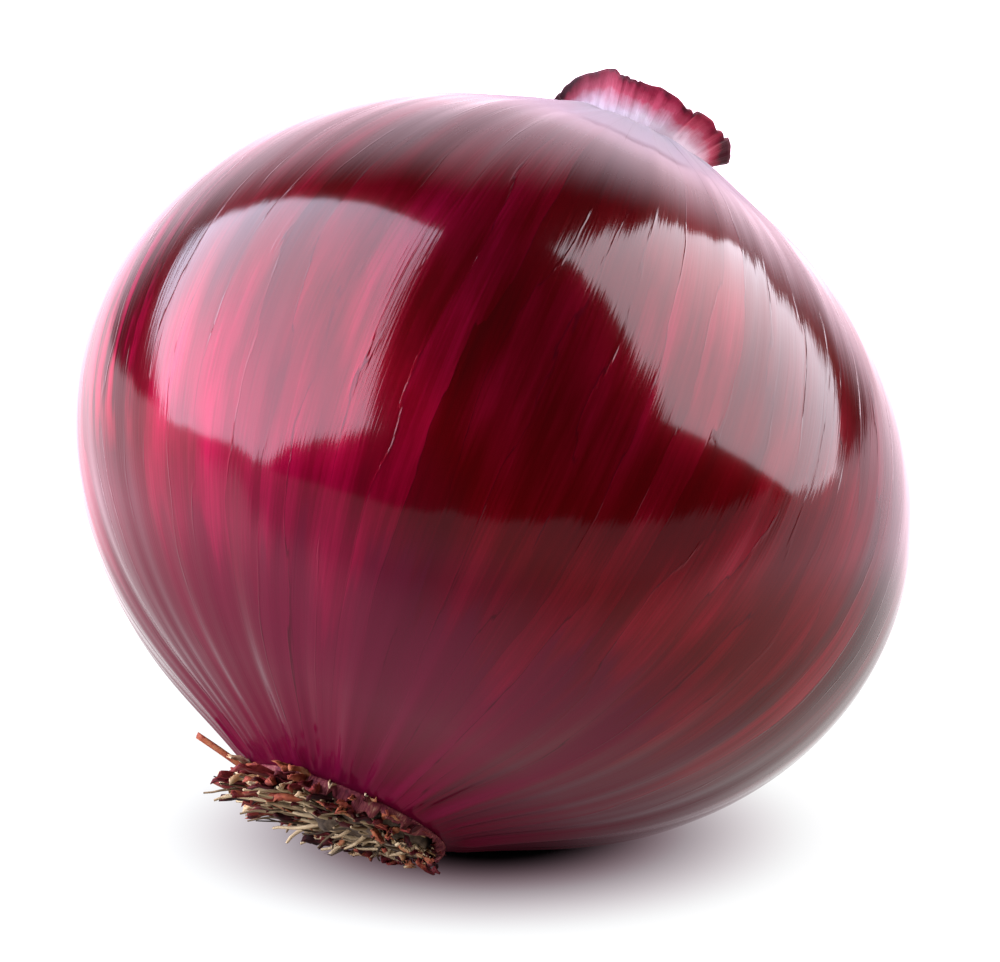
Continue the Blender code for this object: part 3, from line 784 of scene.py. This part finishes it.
neck_row, neck_bearing = np.meshgrid(
    np.linspace(0.0, 1.0, NECK_ROWS + 1),
    np.arange(NECK_SEGMENTS) * 2 * math.pi / NECK_SEGMENTS,
    indexing="ij",
)


def rim_height(bearing, seed, tears):
    """The torn rim's height round the neck, as a share: gentle waves, with small sharp tears."""
    rng = np.random.default_rng(seed)
    across = (bearing - FACING + math.pi) % (2 * math.pi) - math.pi
    rim = 0.62 + 0.19 * np.sqrt(np.clip(np.cos(across), 0.0, 1.0))
    rim += 0.20 * np.clip(1.0 - np.abs(across + 0.62) / 0.5, 0.0, 1.0)
    rim -= 0.42 * np.clip(-np.sin(across), 0.0, 1.0) ** 6
    rim += 0.03 * np.cos(5 * bearing + 0.7) + 0.02 * np.cos(11 * bearing)
    for _ in range(tears):
        place = rng.uniform(0, 2 * math.pi)
        width = rng.uniform(0.02, 0.12)
        away = (bearing - place + math.pi) % (2 * math.pi) - math.pi
        rim += rng.uniform(-0.13, 0.04) * np.clip(1.0 - np.abs(away) / width, 0.0, 1.0)
    return rim


def neck_wall(name, foot_radius, rim_radius, height, wave, seed):
    """One papery leaf end: a creased ring, flared most to the right, with a ragged rim and both its faces."""
    rim = rim_height(neck_bearing, seed, 34)
    lopsided = 0.92 + 0.30 * np.cos(neck_bearing - math.radians(-50.0))
    radius = foot_radius + (rim_radius - foot_radius) * lopsided * neck_row**1.3
    creases = np.cos(4 * neck_bearing + seed) + 0.6 * np.cos(9 * neck_bearing + 2.1 * seed)
    radius += wave * neck_row * creases
    radius += 0.12 * wave * np.cos(37 * neck_bearing + seed)
    points = np.stack([
        radius * np.cos(neck_bearing), radius * np.sin(neck_bearing), NECK_FOOT + height * neck_row * rim,
    ], axis=-1).reshape(-1, 3)
    faces = ring_faces(NECK_ROWS, NECK_SEGMENTS, widening=True)
    made = plain_piece(name, laid_down(points), faces, neck_finish)
    point_attribute(made, "grain", np.stack(
        [np.cos(neck_bearing), np.sin(neck_bearing), neck_row], axis=-1).reshape(-1, 3))
    return thickened(made, NECK_WALL, -1.0)


neck_finish, tree, shader = new_material("papery neck")
along_grain = node(tree, "ShaderNodeAttribute", attribute_name="grain").outputs["Vector"]
split = node(tree, "ShaderNodeSeparateXYZ")
tree.links.new(along_grain, split.inputs[0])
stains = stretched_noise(tree, along_grain, (5.0, 5.0, 2.0), 4.0, 0.6)
fibres = stretched_noise(tree, along_grain, (60.0, 60.0, 1.5), 3.0, 0.6)
rise = math_of(tree, "MULTIPLY_ADD", stains, 0.5, math_of(tree, "SUBTRACT", split.outputs[2], 0.29))
rise = math_of(tree, "MULTIPLY_ADD", fibres, 0.10, math_of(tree, "SUBTRACT", rise, 0.05))
# Painted shade: the collar is darkened in its folds at its left and right ends, where the wall turns away
# from the light.
for fold_bearing, painted_shading in ((134.0, 0.50), (-48.0, 0.40)):
    fold = facing_share(tree, along_grain, fold_bearing)
    fold_painted_shade = math_of(tree, "MULTIPLY_ADD", fold, 6.0, -5.0, clamp=True)
    fold_painted_shade = math_of(tree, "MULTIPLY", fold_painted_shade, split.outputs[2])
    rise = math_of(tree, "MULTIPLY_ADD", fold_painted_shade, painted_shading, rise)
paper = ramp_of(tree, rise, [
    (0.14, (0.560, 0.450, 0.480)), (0.40, (0.440, 0.220, 0.255)), (0.60, (0.350, 0.048, 0.080)),
    (0.84, (0.200, 0.010, 0.028)), (1.00, (0.045, 0.003, 0.008)),
])
# Painted shade: its left side, which faces the left soft box, is darkened.
painted_shade_left = math_of(tree, "MULTIPLY_ADD", facing_share(tree, along_grain, 150.0), 1.3, -0.35, clamp=True)
paper = mixed(tree, painted_shade_left, paper, (0.30, 0.26, 0.28, 1.0), blend="MULTIPLY")
tree.links.new(paper, shader.inputs["Base Color"])
roughen(tree, shader, fibres, 0.5, 0.0001)
shader.inputs["Roughness"].default_value = 0.6
shader.inputs["Specular IOR Level"].default_value = 0.1

collar = neck_wall("neck_collar", 0.0066, 0.0086, NECK_HEIGHT, 0.00018, 3)
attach(collar, "root")
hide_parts("neck")
for number, (foot_radius, rim_radius, height, wave) in enumerate(
    [(0.0056, 0.0062, 0.0031, 0.00025), (0.0043, 0.0046, 0.0026, 0.00028), (0.0029, 0.0030, 0.0022, 0.00022),
     (0.0014, 0.0012, 0.0026, 0.00015)]
):
    leaf = neck_wall(f"neck_leaf_{number + 1}", foot_radius, rim_radius, height, wave, 5 + number)
    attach(leaf, "root")


# The table
# A plain pale light table, which the onion lies on. Its glow fades to a painted, pink-tinted shadow round
# where the onion lies, and it brightens to the sides and behind. Its front edge is close, because the onion
# mirrors the dark room before it.

TABLE_SIZE = 6.0
TABLE_EDGE = -0.25


def eased(tree, value, start, end, first, last, kind="SMOOTHSTEP"):
    """A value that goes softly from first to last while the other goes from start to end."""
    made = node(tree, "ShaderNodeMapRange", interpolation_type=kind)
    tree.links.new(value, made.inputs["Value"])
    for name, level in zip(("From Min", "From Max", "To Min", "To Max"), (start, end, first, last)):
        made.inputs[name].default_value = level
    return made.outputs["Result"]


table_finish, tree, shader = new_material("light table with painted shadow")
shader.inputs["Base Color"].default_value = (0.02, 0.02, 0.02, 1.0)
shader.inputs["Roughness"].default_value = 0.9
shader.inputs["Specular IOR Level"].default_value = 0.0
under = node(tree, "ShaderNodeVectorMath", operation="DISTANCE")
on_table = node(tree, "ShaderNodeTexCoord").outputs["Object"]
tree.links.new(on_table, under.inputs[0])
under.inputs[1].default_value = (MIDDLE.x, MIDDLE.y, 0.0)
# Painted shadow: the glow fades out round where the onion lies.
glow_beyond_painted_shadow = eased(tree, under.outputs["Value"], 0.008, 0.034, 0.0, 1.0)
table_parts = node(tree, "ShaderNodeSeparateXYZ")
tree.links.new(on_table, table_parts.inputs[0])
far = eased(tree, under.outputs["Value"], 0.05, 0.13, 0.0, 1.0)
strength = math_of(tree, "MULTIPLY_ADD", far, 1.2, glow_beyond_painted_shadow)
to_front = eased(tree, table_parts.outputs[1], -0.095, -0.052, 0.30, 1.0)
strength = math_of(tree, "MULTIPLY", strength, to_front)
# The painted shadow is tinted pink where the glow fades.
shade = ramp_of(tree, glow_beyond_painted_shadow, [(0.0, (1.0, 0.58, 0.70)), (0.35, (1.0, 0.86, 0.92)), (0.9, (1.0, 1.0, 1.0))])
tree.links.new(mixed(tree, far, shade, (1.28, 0.97, 1.12, 1.0)), shader.inputs["Emission Color"])
tree.links.new(strength, shader.inputs["Emission Strength"])
half = TABLE_SIZE / 2
corners = np.array([[-half, TABLE_EDGE, 0.0], [half, TABLE_EDGE, 0.0], [half, half, 0.0], [-half, half, 0.0]])
table = plain_piece("table", corners, [(0, 1, 2, 3)], table_finish)


# The light
# Two large soft boxes stand at the left and at the right. The room is dark in front, and brightens softly
# to a pale wall behind.

SOFT_BOX_BRIGHTNESS = 12.0
WALL_BRIGHTNESS = 2.4


def soft_box(name, bearing, rise, distance, along, across, roll, radiance, colour, aside=0.0, above=0.0):
    """A flat light facing the onion. Bearing and rise aim it, and aside and above shift it in its plane."""
    towards = Vector((math.cos(rise) * math.cos(bearing), math.cos(rise) * math.sin(bearing), math.sin(rise)))
    level = Vector((0.0, 0.0, 1.0)).cross(towards).normalized()
    upright = towards.cross(level)
    light = bpy.data.lights.new(name, "AREA")
    light.shape = "RECTANGLE"
    light.size = along * distance
    light.size_y = across * distance
    light.energy = radiance * math.pi * light.size * light.size_y
    light.color = colour
    lamp = bpy.data.objects.new(name, light)
    place = MIDDLE + distance * (towards + aside * level + above * upright)
    facing = Matrix((level, upright, towards)).transposed().to_4x4()
    lamp.matrix_world = Matrix.Translation(place) @ facing @ Matrix.Rotation(roll, 4, "Z")
    bpy.context.scene.collection.objects.link(lamp)
    return lamp


soft_box("left soft box", math.radians(-168.7), math.radians(39.0), 1.0, 1.7, 1.5,
         math.radians(-51.5), SOFT_BOX_BRIGHTNESS, (0.90, 0.97, 1.22), aside=-0.12, above=-0.16)
soft_box("right soft box", math.radians(10.0), math.radians(30.1), 1.0, 1.2, 1.2,
         math.radians(-44.0), SOFT_BOX_BRIGHTNESS, (0.95, 0.95, 1.06), aside=-0.06, above=0.0)

world = bpy.data.worlds.new("studio")
world.use_nodes = True
room = world.node_tree
look = node(room, "ShaderNodeSeparateXYZ")
room.links.new(node(room, "ShaderNodeTexCoord").outputs["Generated"], look.inputs[0])
behind = math_of(room, "MULTIPLY_ADD", math_of(room, "ABSOLUTE", look.outputs[0]), -0.5, look.outputs[1])
brightness = eased(room, behind, 0.25, 0.76, 0.02, WALL_BRIGHTNESS, kind="SMOOTHERSTEP")
room.links.new(brightness, room.nodes["Background"].inputs["Strength"])
room.nodes["Background"].inputs["Color"].default_value = (1.28, 0.96, 1.14, 1.0)
bpy.context.scene.world = world
bpy.context.scene.view_settings.view_transform = "Standard"


# The camera
# A long lens, a little above the table, that sees the onion at the photograph's angle and size.

CAMERA_RISE = math.radians(15.0)
CAMERA_DISTANCE = 0.624

camera_data = bpy.data.cameras.new("camera")
camera_data.lens = 246.0
camera_data.sensor_width = 36.0
camera_data.shift_x = 0.009
camera_data.shift_y = -0.010
camera_data.clip_start = 0.01
camera = bpy.data.objects.new("camera", camera_data)
camera.location = MIDDLE + CAMERA_DISTANCE * Vector((0.0, -math.cos(CAMERA_RISE), math.sin(CAMERA_RISE)))
camera.rotation_euler = (math.pi / 2 - CAMERA_RISE, 0.0, 0.0)
bpy.context.scene.collection.objects.link(camera)
bpy.context.scene.camera = camera
